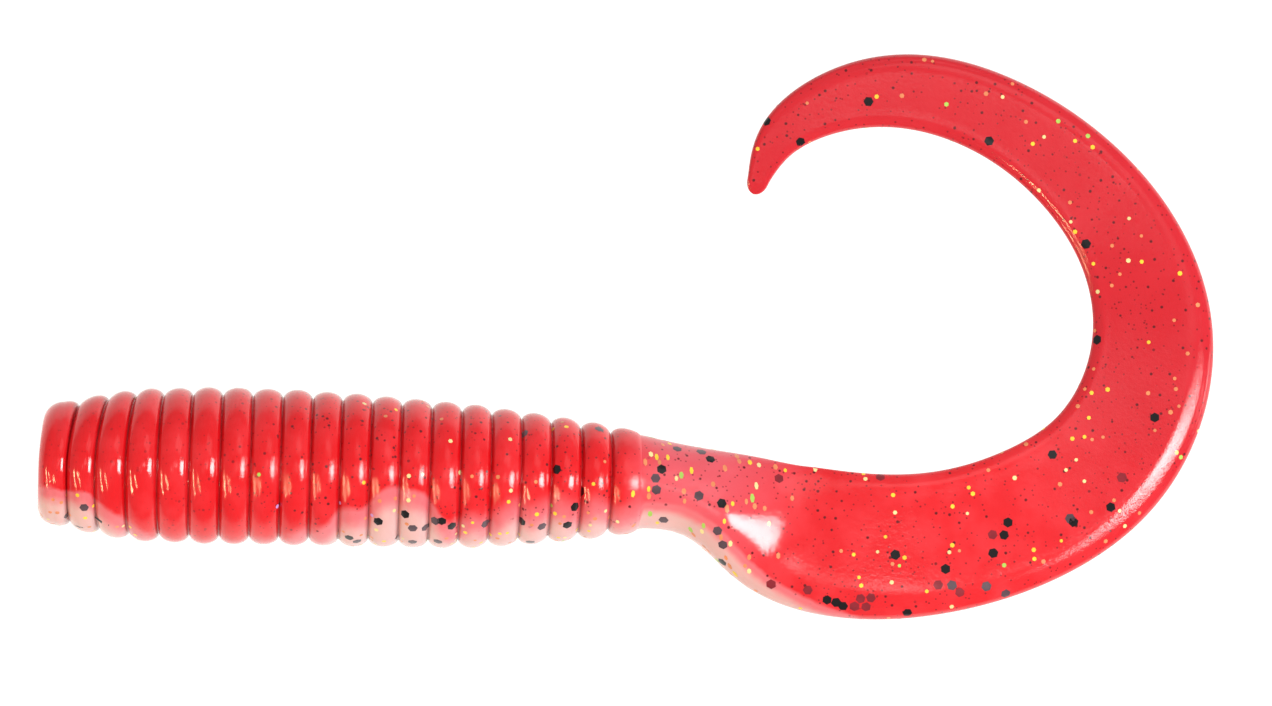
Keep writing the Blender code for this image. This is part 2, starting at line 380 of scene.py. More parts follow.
def rib_rings(number):
    """One of the other ribs, from its front groove to its rear one."""
    rings = []
    front = FIRST_RIB + (number - 1) * RIB_PITCH
    lift = rng.uniform(-RIB_VARIATION, RIB_VARIATION)
    for step in range(1, RINGS_PER_RIB + 1):
        even = 2.0 * step / RINGS_PER_RIB - 1.0
        t = (1.0 - CROWDING) * even + CROWDING * math.sin(even * math.pi / 2.0)
        x = front + RIB_PITCH * (t + 1.0) / 2.0
        depth = rib_drop(t)
        if number == RIB_COUNT - 1 and t > 0.0:
            depth *= LAST_RIB_DROP
        radius = float(body_radius(x)) - depth + lift * (1.0 - t * t)
        rings.append((x, rib_ring(x, radius)))
    return rings


def body_rings():
    rings = nose_rings() + first_rib_rings()
    for number in range(1, RIB_COUNT):
        rings += rib_rings(number)
    return rings


def tail_section(s):
    """The outline at s as (across, through) pairs: a round neck that turns into a flat, rimmed blade."""
    half = float(TAIL.width(s)) / 2.0
    step = float(shoulder_step(s)) if s < SHOULDER_END else 0.0
    deep = (float(TAIL.thickness(s)) + step) / 2.0
    c = np.cos(ANGLES)
    power = NECK_POWER + (BLADE_POWER - NECK_POWER) * float(smoothstep(*FLATTENING, s))
    height = deep * np.sqrt(np.clip(1.0 - np.abs(c) ** power, 0.0, 1.0))
    height = height * (1.0 - float(outer_thickening(s)) * c)
    from_outside = (1.0 + c) * half
    from_inside = (1.0 - c) * half
    crest = float(bead_distance(s))
    reach = np.where(from_outside < crest, *BEAD_REACHES)
    bead = ridge(from_outside, max(float(bead_height(s)), 0.0), crest, reach)
    rims = ridge(from_outside, *CREASE) + ridge(from_inside, *LIP)
    upper = np.sin(ANGLES) > 0.0
    edge_fade = np.clip(np.minimum(from_outside, from_inside) / EDGE_FADE, 0.0, 1.0)
    height = height + upper * edge_fade * (bead + float(plateau(s, RIMS_RISE, RIMS_END)) * rims)
    return c * half, np.sign(np.sin(ANGLES)) * height


def tail_ring(s):
    middle, _, across, through = TAIL.frame(s)
    u, v = tail_section(s)
    ring = middle + np.outer(u, across) + np.outer(v, through)
    lean = float(rib_lean(BODY_LENGTH)) * (1.0 - float(smoothstep(*LEAN_ENDS, s)))
    ring[:, 0] += lean * (ring[:, 2] - middle[2])
    return ring


def tail_rings():
    rings = []
    count = int(TAIL.length / TAIL_RING_STEP)
    for step in range(1, count + 1):
        s = TAIL.length * step / count
        if s < TAIL.length - TIP_LENGTH:
            rings.append((BODY_LENGTH + s, tail_ring(s)))
    return rings


def tip_rings():
    """The rounded end of the tail, as shrinking rings."""
    rings = []
    start = TAIL.length - TIP_LENGTH
    middle, along, _, _ = TAIL.frame(start)
    last = tail_ring(start)
    for step in range(1, TIP_STEPS):
        angle = math.pi / 2.0 * step / TIP_STEPS
        reach = TIP_REACH * math.sin(angle)
        ring = middle + along * reach + (last - middle) * math.cos(angle)
        rings.append((BODY_LENGTH + start + reach, ring))
    return rings


# ---------------------------------------------------------------- colour masks of the two shots
# Where the pale belly begins, as a share of the body's radius (below the axis if negative), and how many
# millimetres wide its soft edge is: x, share, softness.
BELLY_STATIONS = (
    (0.0, -0.42, 0.5),
    (5.0, -0.44, 0.5),
    (8.0, -0.72, 0.8),
    (11.0, -0.94, 1.0),
    (18.0, -0.94, 1.2),
    (23.0, -0.80, 1.4),
    (26.5, -0.52, 0.8),
    (29.5, -0.30, 0.7),
    (32.4, -0.16, 0.7),
    (35.0, -0.52, 1.0),
    (40.0, -0.46, 2.2),
    (44.0, -0.37, 2.5),
    (52.1, -0.50, 2.2),
)
belly_level, belly_softness = curves(BELLY_STATIONS)
LEAST_SOFTNESS = 0.3
TAIL_SOFTNESS = 1.0
# The belly's limit ripples: how high, and at what angle at the nose and how much more each millimetre.
# In front of RIPPLE_STARTS the ripple is lower by the share NOSE_RIPPLE.
RIPPLE_HEIGHT = 0.35
RIPPLE_ANGLES = (0.6, 1.7)
RIPPLE_STARTS = 20.0
NOSE_RIPPLE = 0.4
# How wide the pale band is along the outer edge of the neck and the tail.
BAND_STATIONS = (
    (0.0, 1.8),
    (5.0, 1.8),
    (9.0, 1.8),
    (13.0, 1.3),
    (17.0, 0.5),
    (21.0, -0.6),
    (105.2, -3.0),
)
(pale_band,) = curves(BAND_STATIONS)
# The band's depth in the pale shot at its limit, and how much more for each millimetre further out.
BAND_DEPTHS = (1.2, 2.2)
# How far from a groove's bottom the painted shade in it reaches.
GROOVE_SHADE_REACH = 0.45


def belly_depth(place, ring):
    """How many millimetres each point lies below the upper limit of the pale shot."""
    if place <= BODY_LENGTH:
        level = float(belly_level(place)) * float(body_radius(place))
        first_angle, turn = RIPPLE_ANGLES
        ripple = RIPPLE_HEIGHT * np.sin(turn * ring[:, 0] + first_angle)
        ripple = ripple * (NOSE_RIPPLE if place < RIPPLE_STARTS else 1.0)
        return level + ripple - ring[:, 1]
    s = place - BODY_LENGTH
    half = float(TAIL.width(min(s, TAIL.length))) / 2.0
    from_outside = (1.0 + np.cos(ANGLES)) * half
    at_limit, steepness = BAND_DEPTHS
    return steepness * (float(pale_band(s)) - from_outside) + at_limit


def softness_at(place):
    """How wide the soft edge of the pale shot is, in millimetres."""
    if place <= BODY_LENGTH:
        return max(float(belly_softness(place)), LEAST_SOFTNESS)
    return TAIL_SOFTNESS


def rosiness_and_sheen(place):
    """The red shot is thinner, so pinker, round the neck, and a little pinker in all of the tail. Round the
    neck the pink is also a painted sheen, standing in for the soft reflections on its top.
    """
    neck = plateau(place, (50.0, 54.0), (57.0, 68.0))
    return 0.4 * neck + 0.04 * smoothstep(52.0, 70.0, place)


def darkening(place):
    """The red shot is deeper in colour towards the middle of the curl and beyond."""
    return 0.8 * smoothstep(84.0, 104.0, place)


def peppering(place):
    """The pepper is thinner at the nose."""
    return 0.4 + 0.6 * smoothstep(8.0, 26.0, place)


def mattness(place):
    """How much rougher than elsewhere the skin is at the last ribs and the neck."""
    return 0.14 * plateau(place, (46.0, 51.0), (56.0, 60.0))


def frosting(place):
    """The fine grain is strong at the body's middle and in the upper half of the curl."""
    body = plateau(place, (12.0, 20.0), (34.0, 48.0), drop=0.8)
    curl = plateau(place, (84.0, 94.0), (112.0, 122.0), drop=0.6)
    return 0.15 + 0.85 * np.maximum(body, curl)


def groove_shading(place):
    """How much painted shade a place gets from the groove between two ribs: 1 at its bottom, 0 from the
    rib's shoulder on.
    """
    number = np.clip(np.round((place - FIRST_RIB) / RIB_PITCH), 0, RIB_COUNT - 2)
    aside = np.abs(place - FIRST_RIB - number * RIB_PITCH)
    return 1.0 - smoothstep(0.0, GROOVE_SHADE_REACH, aside)


# What varies along the worm, by the name that the skin's material reads.
MASKS = {
    # rosy: partly the thinner red shot's pink, partly a painted sheen round the neck.
    "rosy": rosiness_and_sheen,
    "deep": darkening,
    "pepper": peppering,
    "matt": mattness,
    "frosty": frosting,
    # groove: how much painted shade darkens the red in and beside each groove.
    "groove": groove_shading,
}
# How many rings in from a seam the light that scatters under the skin reaches its full strength.
SEAM_FADE = 3.0


# ---------------------------------------------------------------- the whole skin, then its pieces
class Skin:
    """The whole moulding as one closed grid of rings, with a point at each end."""

    def __init__(self):
        rings = body_rings() + tail_rings() + tip_rings()
        self.places = np.array([place for place, _ in rings])
        self.points = np.array([ring for _, ring in rings])
        self.depths = np.array([belly_depth(place, ring) for place, ring in rings])
        self.softness = np.array([softness_at(place) for place, _ in rings])
        self.nose = np.zeros(3)
        middle, along, _, _ = TAIL.frame(TAIL.length - TIP_LENGTH)
        self.tip = middle + along * TIP_POINT
        self.normals = self.ring_normals()

    def ring_normals(self):
        across = np.roll(self.points, -1, axis=1) - np.roll(self.points, 1, axis=1)
        along = np.gradient(self.points, axis=0)
        normals = np.cross(across, along)
        normals /= np.maximum(np.linalg.norm(normals, axis=2, keepdims=True), 1e-9)
        return normals


SKIN = Skin()


def nearest_ring(place):
    return int(np.argmin(np.abs(SKIN.places - place)))


def grid_faces(rows):
    faces = []
    for row in range(rows - 1):
        low = row * SIDES
        high = low + SIDES
        for k in range(SIDES):
            after = (k + 1) % SIDES
            faces.append((low + k, low + after, high + after, high + k))
    return faces


def make_mesh_object(name, points, faces, materials):
    mesh = bpy.data.meshes.new(name)
    mesh.from_pydata([Vector(p) * MM for p in points], [], faces)
    for material in materials:
        mesh.materials.append(material)
    mesh.update()
    obj = bpy.data.objects.new(name, mesh)
    bpy.context.scene.collection.objects.link(obj)
    return obj


def add_point_values(mesh, name, kind, values):
    attribute = mesh.attributes.new(name, kind, "POINT")
    field = "vector" if kind == "FLOAT_VECTOR" else "value"
    attribute.data.foreach_set(field, np.asarray(values, np.float32).ravel())


def skin_piece(name, first, last, closes_nose, closes_tip, material):
    """The rings from first to last, closed at both ends."""
    points = SKIN.points[first : last + 1].reshape(-1, 3)
    depths = SKIN.depths[first : last + 1].reshape(-1)
    rows = last - first + 1
    faces = grid_faces(rows)
    front = SKIN.nose if closes_nose else SKIN.points[first].mean(axis=0)
    back = SKIN.tip if closes_tip else SKIN.points[last].mean(axis=0)
    points = np.vstack([points, front, back])
    depths = np.append(depths, [depths[:SIDES].mean(), depths[-SIDES:].mean()])
    softness = SKIN.softness[first : last + 1].repeat(SIDES)
    softness = np.append(softness, [softness[0], softness[-1]])
    front_index = rows * SIDES
    for k in range(SIDES):
        after = (k + 1) % SIDES
        faces.append((front_index, after, k))
        base = (rows - 1) * SIDES
        faces.append((front_index + 1, base + k, base + after))
    obj = make_mesh_object(name, points, faces, [material])
    mesh = obj.data
    add_point_values(mesh, "rest_place", "FLOAT_VECTOR", points)
    add_point_values(mesh, "belly", "FLOAT", depths)
    add_point_values(mesh, "softness", "FLOAT", softness)
    along = SKIN.places[first : last + 1].repeat(SIDES)
    along = np.append(along, [along[0], along[-1]])
    for key, mask in MASKS.items():
        add_point_values(mesh, key, "FLOAT", mask(along))
    seam = np.minimum(np.arange(rows), np.arange(rows)[::-1]).repeat(SIDES)
    fade = np.append(np.clip(seam / SEAM_FADE, 0.0, 1.0), [0.0, 0.0])
    add_point_values(mesh, "inside", "FLOAT", fade)
    mesh.shade_smooth()
    set_seam_normals(mesh, first, last)
    return obj


def set_seam_normals(mesh, first, last):
    """Gives each piece the whole skin's normals, so that no seam shows where two pieces meet."""
    rows = last - first + 1
    whole = SKIN.normals[first : last + 1].reshape(-1, 3)
    corner_points = np.empty(len(mesh.loops), np.int32)
    mesh.loops.foreach_get("vertex_index", corner_points)
    normals = np.zeros((len(mesh.loops), 3))
    side_corners = 4 * (rows - 1) * SIDES
    normals[:side_corners] = whole[corner_points[:side_corners]]
    face_normals = np.empty(len(mesh.polygons) * 3, np.float32)
    mesh.polygons.foreach_get("normal", face_normals)
    cap_normals = face_normals.reshape(-1, 3)[(rows - 1) * SIDES :]
    normals[side_corners:] = cap_normals.repeat(3, axis=0)
    mesh.normals_split_custom_set([tuple(n) for n in normals])


# ---------------------------------------------------------------- materials
# How bright the studio's light makes a base colour, and how much its gloss adds.
LIGHT_LEVEL = 1.45
GLOSS_LIFT = 0.022
DARKEST = 0.003
# The skin's colours, as sRGB under the studio's light. The pepper's is its base colour.
RED = (248, 44, 50)
CLOUDY_RED = (255, 60, 66)
DEEP_RED = (226, 46, 56)
# Partly the thinner red shot's own pink, partly a painted sheen that stands in for the neck's soft
# reflections.
ROSY_SHEEN_RED = (255, 150, 166)
PINK = (255, 130, 138)
PALE = (253, 198, 195)
# Painted shade: in the grooves the red turns to this darker red, where the groove walls hide the light.
GROOVE_SHADE_RED = (165, 26, 32)
PEPPER = (84, 12, 18)
GROOVE_SHADE_SHARE = 0.3
# Where the red turns cloudy, in a noise from 0 to 1.
CLOUDS = (0.35, 0.7)
# Below the pale shot's limit, the red turns pink and the pink turns pale over these depths, in widths of
# the soft edge. The pink also turns pale over these millimetres. The pepper ends over these depths.
TURNS_PINK = (-0.5, 0.5)
TURNS_PALE = (1.0, 3.9)
TURNS_PALE_MM = (0.8, 2.7)
PEPPER_ENDS = (1.0, 0.0)
# How many millimetres the limit between the shots wanders.
WANDER = 0.8
# The pepper's coarse and fine specks: pattern scale, size in it, strength.
COARSE_SPECKS = (1.2, 0.2, 0.95)
FINE_SPECKS = (2.3, 0.24, 0.75)
SKIN_ROUGHNESS = (0.06, 0.12)
SCATTER_WEIGHT = 0.25
SCATTER_RADIUS = (1.0, 0.25, 0.2)
SCATTER_SCALE = 0.4 * MM
PLASTIC_IOR = 1.57
BUMP_STRENGTH = 0.08
BUMP_HEIGHT = 0.2 * MM
# A flake's shade varies a little, by a noise of this scale.
FLAKE_NOISE = 900.0
FLAKE_SHADE = 0.8


def srgb(*values):
    linear = [v / 255.0 for v in values]
    linear = [v / 12.92 if v <= 0.04045 else ((v + 0.055) / 1.055) ** 2.4 for v in linear]
    return (*linear, 1.0)


def seen(*values):
    """The base colour that looks like this sRGB colour under the studio's light."""
    return tuple(max((v - GLOSS_LIFT) / LIGHT_LEVEL, DARKEST) for v in srgb(*values)[:3]) + (1.0,)


class Nodes:
    """A short way to build a node material."""

    def __init__(self, name):
        self.material = bpy.data.materials.new(name)
        self.material.use_nodes = True
        self.tree = self.material.node_tree
        self.shader = self.tree.nodes["Principled BSDF"]

    def add(self, kind, settings=None, **inputs):
        node = self.tree.nodes.new(kind)
        for key, value in (settings or {}).items():
            setattr(node, key, value)
        for key, value in inputs.items():
            self.feed(node, key.replace("_", " "), value)
        return node

    def feed(self, node, key, value):
        """Links a socket, or sets a plain value. A key such as i6 is an input's number, others its name."""
        socket = node.inputs[int(key[1:])] if key[0] == "i" and key[1:].isdigit() else node.inputs[key]
        if isinstance(value, bpy.types.NodeSocket):
            self.tree.links.new(value, socket)
        else:
            socket.default_value = value

    def attribute(self, name, output="Fac"):
        return self.add("ShaderNodeAttribute", {"attribute_name": name}).outputs[output]

    def math(self, operation, first, second=0.0):
        return self.add("ShaderNodeMath", {"operation": operation}, i0=first, i1=second).outputs[0]

    def ramp(self, value, low, high, to_low=0.0, to_high=1.0):
        node = self.add("ShaderNodeMapRange", {"interpolation_type": "SMOOTHSTEP"}, Value=value)
        limits = {"From Min": low, "From Max": high, "To Min": to_low, "To Max": to_high}
        for key, limit in limits.items():
            node.inputs[key].default_value = limit
        return node.outputs["Result"]

    def noise(self, place, scale, detail=2.0):
        node = self.add("ShaderNodeTexNoise", None, Vector=place, Scale=scale, Detail=detail)
        return node.outputs["Fac"]

    def specks(self, place, scale, size, strength):
        """Small dots in about half of the cells of a seeded pattern."""
        cells = self.add("ShaderNodeTexVoronoi", None, Vector=place, Scale=scale, Randomness=1.0)
        keep = self.ramp(cells.outputs["Color"], 0.45, 0.5)
        core = 0.55 * size
        dot = self.ramp(cells.outputs["Distance"], size, core)
        return self.math("MULTIPLY", self.math("MULTIPLY", dot, keep), strength)

    def mix(self, share, first, second):
        node = self.add("ShaderNodeMix", {"data_type": "RGBA"})
        self.feed(node, "i0", share)
        self.feed(node, "i6", first)
        self.feed(node, "i7", second)
        return node.outputs[2]


def skin_colour(n, place):
    """Red above and pale below, with a pink stretch between them, painted shade darkening the grooves, and
    pepper in the red.
    """
    cloudy = n.noise(place, 0.35, 3.0)
    wander = n.math("MULTIPLY", n.math("SUBTRACT", n.noise(place, 0.8, 3.0), 0.5), WANDER)
    below = n.math("ADD", n.attribute("belly"), wander)
    depth = n.math("DIVIDE", below, n.attribute("softness"))
    red = n.mix(n.ramp(cloudy, *CLOUDS), seen(*RED), seen(*CLOUDY_RED))
    deep = n.mix(n.attribute("deep"), red, seen(*DEEP_RED))
    # Round the neck the pink is partly painted sheen.
    rosy = n.mix(n.attribute("rosy"), deep, seen(*ROSY_SHEEN_RED))
    pink = n.mix(n.ramp(depth, *TURNS_PINK), rosy, seen(*PINK))
    pale_share = n.math("MAXIMUM", n.ramp(below, *TURNS_PALE_MM), n.ramp(depth, *TURNS_PALE))
    pale = n.mix(pale_share, pink, seen(*PALE))
    # Painted shade in the grooves: the red darkens towards each groove's bottom.
    groove_shade_share = n.math("MULTIPLY", n.attribute("groove"), GROOVE_SHADE_SHARE)
    base = n.mix(groove_shade_share, pale, seen(*GROOVE_SHADE_RED))
    pepper = n.math("MAXIMUM", n.specks(place, *COARSE_SPECKS), n.specks(place, *FINE_SPECKS))
    shown = n.math("MULTIPLY", n.ramp(depth, *PEPPER_ENDS), n.attribute("pepper"))
    return n.mix(n.math("MULTIPLY", pepper, shown), base, srgb(*PEPPER))


def skin_normal(n, place):
    """Soft waves, with a fine grain over them where the skin is frosty."""
    waves = n.noise(place, 2.5, 3.0)
    grain = n.math("ADD", n.noise(place, 11.0, 2.0), n.noise(place, 4.0, 2.0))
    height = n.math("ADD", waves, n.math("MULTIPLY", grain, n.attribute("frosty")))
    bump = n.add("ShaderNodeBump", None, Height=height, Strength=BUMP_STRENGTH, Distance=BUMP_HEIGHT)
    return bump.outputs["Normal"]


def skin_material():
    n = Nodes("worm_skin")
    place = n.attribute("rest_place", "Vector")
    rough = n.ramp(n.noise(place, 9.0, 2.0), 0.2, 0.8, *SKIN_ROUGHNESS)
    n.feed(n.shader, "Base Color", skin_colour(n, place))
    n.feed(n.shader, "Roughness", n.math("ADD", rough, n.attribute("matt")))
    n.feed(n.shader, "Subsurface Weight", n.math("MULTIPLY", n.attribute("inside"), SCATTER_WEIGHT))
    n.feed(n.shader, "Subsurface Radius", SCATTER_RADIUS)
    n.feed(n.shader, "Subsurface Scale", SCATTER_SCALE)
    n.feed(n.shader, "IOR", PLASTIC_IOR)
    n.feed(n.shader, "Normal", skin_normal(n, place))
    return n.material


def flake_material(name, colour, roughness):
    n = Nodes(name)
    place = n.add("ShaderNodeTexCoord").outputs["Object"]
    shade = n.ramp(n.noise(place, FLAKE_NOISE), 0.3, 0.7)
    dark = tuple(FLAKE_SHADE * v for v in colour[:3]) + (1.0,)
    n.feed(n.shader, "Base Color", n.mix(shade, dark, colour))
    n.feed(n.shader, "Roughness", roughness)
    return n.material


def piece_name(kind, number):
    """The pieces are counted by their hinges: 20 along the body, then those of the tail."""
    if number < RIB_COUNT:
        return f"body_{kind}_{number + 1:02d}"
    return f"tail_{kind}_{number + 1 - RIB_COUNT:02d}"


def build_skin():
    """Cuts the skin half-way between hinges, so that each piece has one hinge in its middle."""
    material = skin_material()
    hinges = hinge_places()
    seams = [SKIN.places[0]]
    seams += [(a + b) / 2.0 for a, b in zip(hinges, hinges[1:])]
    seams.append(SKIN.places[-1])
    cuts = [nearest_ring(place) for place in seams]
    cuts[0], cuts[-1] = 0, len(SKIN.places) - 1
    bodies = frame["record"]["behaviour"]["bodies"]
    pieces = []
    for number, joint in enumerate(JOINTS):
        first, last = cuts[number], cuts[number + 1]
        is_first, is_last = number == 0, number == len(JOINTS) - 1
        obj = skin_piece(piece_name("skin", number), first, last, is_first, is_last, material)
        start, end = blend_span(first, last, is_first, is_last, hinges[number])
        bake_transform(obj)
        nodes = list(bodies[joint["child"]])
        if is_first:
            nodes += bodies[joint["parent"]]
        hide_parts(*nodes)
        pieces.append((last, joint, start, end))
    return pieces


def blend_span(first, last, is_first, is_last, hinge):
    """Where the bend starts and ends, so that all of each seam's ring stays with its own body."""
    row = nearest_ring(hinge)
    if is_first:
        first = max(0, 2 * row - last)
    if is_last:
        last = min(last, 2 * row - first)
    start = SKIN.points[first].mean(axis=0)
    end = SKIN.points[last].mean(axis=0)
    way = unit(end - start)
    spare = 0.02
    into = ((SKIN.points[first] - start) @ way).max() + spare
    back = 0.0 if is_last else ((end - SKIN.points[last]) @ way).max() + spare
    return tuple((start + way * into) * MM), tuple((end - way * back) * MM)


# ---------------------------------------------------------------- glitter
# Flakes are hexagons: from the middle to a corner, in millimetres.
BLACK_SIZE = 0.445
GOLD_SIZE = 0.19
# How much smaller or larger than that a flake may be.
BLACK_VARIATION = (0.95, 1.05)
GOLD_VARIATION = (0.8, 1.15)
# Gold flakes round the neck are longer than wide by this much: between these x, and this far out.
NECK_STRETCH = (1.2, 2.1)
NECK_X = (BODY_LENGTH - 2.0, BODY_LENGTH + 16.0)
NECK_Y = 9.0
# How far apart the scattered flakes keep, and gold ones from dark ones.
BLACK_SPACING = 1.0
GOLD_SPACING = 0.5
CLEAR_OF_DARK = 0.62
# How far a flake's two faces lie above and below the skin.
FLAKE_PROUD = 0.012
FLAKE_SUNK = 0.05
# A flake larger than this has more points, so that it follows the skin's curve.
LARGE_FLAKE = 0.3
# A hexagon looks the same after a sixth of a turn.
SIXTH_TURN = 1.05
CORNERS = 6
# Higher than all of the worm.
ABOVE = 20.0
# The dark flakes of the upper side, by how dark they look: x and y in millimetres.
TOP_FLAKES = {
    "black": (
        (71.0, 33.7), (65.2, 30.0), (81.6, 30.6), (62.2, 31.7), (90.3, 21.9), (91.5, 13.6), (96.7, 7.0),
        (87.9, 3.5), (93.1, -0.9), (89.9, -2.3), (84.2, -2.5), (83.9, -3.6), (83.0, -5.2), (78.9, -6.7),
        (74.5, -5.6), (75.7, -10.6), (68.7, -9.7), (69.5, -9.9), (70.1, -10.2), (59.5, -6.7), (59.3, -1.6),
        (58.2, 2.2), (54.0, 1.2), (44.9, 0.9), (47.1, -0.9), (46.6, -2.3), (46.0, -3.9), (42.0, -3.7),
        (35.1, -3.9), (36.0, -4.3), (31.9, -3.4), (31.3, -5.3), (29.6, -4.1), (27.1, -5.6),
    ),
    "grey": (
        (89.6, -2.0), (84.2, -8.7), (79.5, -8.1), (82.5, -8.1), (57.3, -1.0), (57.4, 2.8), (55.3, 3.0),
        (59.0, -4.0), (59.5, -5.2), (53.5, 0.4), (53.6, -0.6), (54.3, -3.2), (43.8, -4.1), (42.8, -5.5),
        (42.0, 3.9), (48.5, 4.5), (34.5, -3.9), (34.8, -5.7), (32.6, -4.6), (33.7, -4.5), (32.6, -5.8),
        (27.8, -5.9), (4.1, -3.7), (2.6, -4.4), (38.9, -4.0),
    ),
    "maroon": (
        (71.6, -9.5), (72.1, -10.2), (72.5, -9.4), (71.1, -10.2), (78.3, -8.1), (80.2, -8.7), (82.9, -3.6),
        (67.0, -8.9), (63.8, -8.5), (64.2, 0.7), (73.0, 1.1), (94.0, 1.7),
    ),
}
# Black flakes seen edge on in the pale nose ribs: x, y, half width, stretch and heading in degrees.
EDGE_FLAKES = ((5.6, -4.9, 0.2, 4.6, 42.0), (3.6, -5.4, 0.2, 2.6, 65.0))
# The kinds that scattered flakes are drawn from. One that is named more often is more common.
DARK_KINDS = ("black", "black", "grey", "maroon")
GOLD_KINDS = ("gold",) * 12 + ("pale_gold",) * 8 + ("amber",) * 18 + ("green", "green", "violet")
# Each kind's sRGB colour and its roughness.
FLAKE_LOOKS = {
    "black": ((18, 12, 14), 0.16),
    "grey": ((84, 64, 72), 0.2),
    "maroon": ((132, 34, 44), 0.16),
    "gold": ((245, 205, 60), 0.2),
    "pale_gold": ((236, 216, 150), 0.2),
    "amber": ((228, 138, 92), 0.18),
    "green": ((170, 205, 90), 0.2),
    "violet": ((200, 150, 215), 0.2),
}
# Flakes per square millimetre: where along the worm a stretch ends, the rate in the pale shot and the
# rate in the red one. The gold thins out along the blade, from one rate by another over a length.
NECK_END = BODY_LENGTH + 10.0
GOLD_RATES = (
    (9.0, 0.3, 0.004),
    (26.0, 0.003, 0.003),
    (BODY_LENGTH, 0.42, 0.07),
    (NECK_END, 0.55, 0.55),
)
BLADE_GOLD = (0.22, 0.1, 60.0)
BLACK_RATES = (
    (9.0, 0.05, 0.0),
    (26.0, 0.004, 0.004),
    (math.inf, 0.1, 0.035),
)
# Skin whose normal points further up than this has the black flakes of the list, and no scattered ones.
UNDERSIDE = -0.05


def hexagon(radius, turn, stretch, heading):
    """A hexagon as a middle point and rings of points round it: the points, the rings, points to a ring."""
    rings = (0.5, 1.0) if radius > LARGE_FLAKE else (1.0,)
    lanes = 2 * CORNERS if radius > LARGE_FLAKE else CORNERS
    shape = [(0.0, 0.0)]
    for ring in rings:
        for step in range(lanes):
            angle = 2.0 * math.pi * step / lanes + turn
            corner = 1.0 if step % (lanes // CORNERS) == 0 else math.cos(math.pi / CORNERS)
            reach = radius * ring * corner
            shape.append((reach * math.cos(angle), reach * math.sin(angle) * stretch))
    c, d = math.cos(heading), math.sin(heading)
    return [(a * c - b * d, a * d + b * c) for a, b in shape], len(rings), lanes


class Flake:
    """One hexagon plate that lies on the skin. A stretched one is a flake seen nearly edge on."""

    def __init__(self, kind, centre, normal, radius, turn, stretch=1.0, heading=0.0):
        self.kind = kind
        self.centre = centre
        self.points = []
        self.normals = []
        self.faces = []
        side = normal.cross(Vector((0.0, 1.0, 0.0)))
        side = side.normalized() if side.length > 0.1 else Vector((1.0, 0.0, 0.0))
        up = normal.cross(side).normalized()
        shape, rings, lanes = hexagon(radius, turn, stretch, heading)
        for level in (FLAKE_PROUD, -FLAKE_SUNK):
            for right, forward in shape:
                place, away, _, _ = SURFACE.find_nearest(centre + side * right + up * forward)
                self.points.append(place + away * level)
                self.normals.append(away)
        self.join(rings, lanes, len(shape))

    def join(self, rings, lanes, layer):
        """Makes the faces of the two layers and of the wall between them."""

        def at(ring, step):
            return 1 + ring * lanes + step % lanes

        for base in (0, layer):
            faces = [(0, at(0, k), at(0, k + 1)) for k in range(lanes)]
            for ring in range(rings - 1):
                faces += [
                    (at(ring, k), at(ring + 1, k), at(ring + 1, k + 1), at(ring, k + 1))
                    for k in range(lanes)
                ]
            if base:
                faces = [tuple(reversed(face)) for face in faces]
            self.faces += [tuple(base + k for k in face) for face in faces]
        for k in range(lanes):
            a, b = at(rings - 1, k), at(rings - 1, k + 1)
            self.faces.append((a, layer + a, layer + b, b))


def surface_tree():
    """The whole skin as a search tree, with its faces pointing outwards."""
    rows = len(SKIN.points)
    points = [Vector(p) for p in SKIN.points.reshape(-1, 3)]
    return BVHTree.FromPolygons(points, grid_faces(rows))


SURFACE = surface_tree()


def listed_rates(rates, place):
    """The rates in the pale shot and in the red one, of the first stretch that reaches the place."""
    return next(((pale, red) for end, pale, red in rates if place < end), None)


def gold_density(place):
    """Gold flakes per square millimetre, in the pale shot and in the red one."""
    start, loss, length = BLADE_GOLD
    on_blade = start - loss * min(1.0, (place - NECK_END) / length)
    return listed_rates(GOLD_RATES, place) or (on_blade, on_blade)


def black_density(place):
    """Black flakes per square millimetre on the underside. The upper side has its own list."""
    return listed_rates(BLACK_RATES, place)


def scatter(density, spacing, highest_normal=math.inf):
    """Seeded random places on the skin, as (centre, normal), no two nearer than the spacing."""
    corner = SKIN.points[:-1]
    right = np.roll(corner, -1, axis=1) - corner
    ahead = SKIN.points[1:] - corner
    areas = np.linalg.norm(np.cross(right, ahead), axis=2)
    rows, columns = areas.shape
    rates = np.array([density(place) for place in SKIN.places[:-1]])
    rates = np.where(SKIN.depths[:-1] > 0.0, rates[:, :1], rates[:, 1:])
    weights = areas * rates * (SKIN.normals[:-1, :, 2] <= highest_normal)
    total = np.cumsum(weights.ravel())
    found = []
    for _ in range(int(total[-1])):
        pick = int(np.searchsorted(total, rng.random() * total[-1]))
        row, column = divmod(min(pick, rows * columns - 1), columns)
        point = corner[row, column] + rng.random() * right[row, column] + rng.random() * ahead[row, column]
        point = Vector(point)
        if all((point - other).length > spacing for other, _ in found):
            found.append((point, Vector(SKIN.normals[row, column])))
    return found


def skin_below(x, y):
    """The point and the normal where a straight line down meets the skin, or the nearest ones."""
    centre, normal, _, _ = SURFACE.ray_cast(Vector((x, y, ABOVE)), Vector((0.0, 0.0, -1.0)))
    if centre is None:
        centre, normal, _, _ = SURFACE.find_nearest(Vector((x, y, 0.0)))
    return centre, normal


def is_on_neck(point):
    low, high = NECK_X
    return low < point.x < high and abs(point.y) < NECK_Y


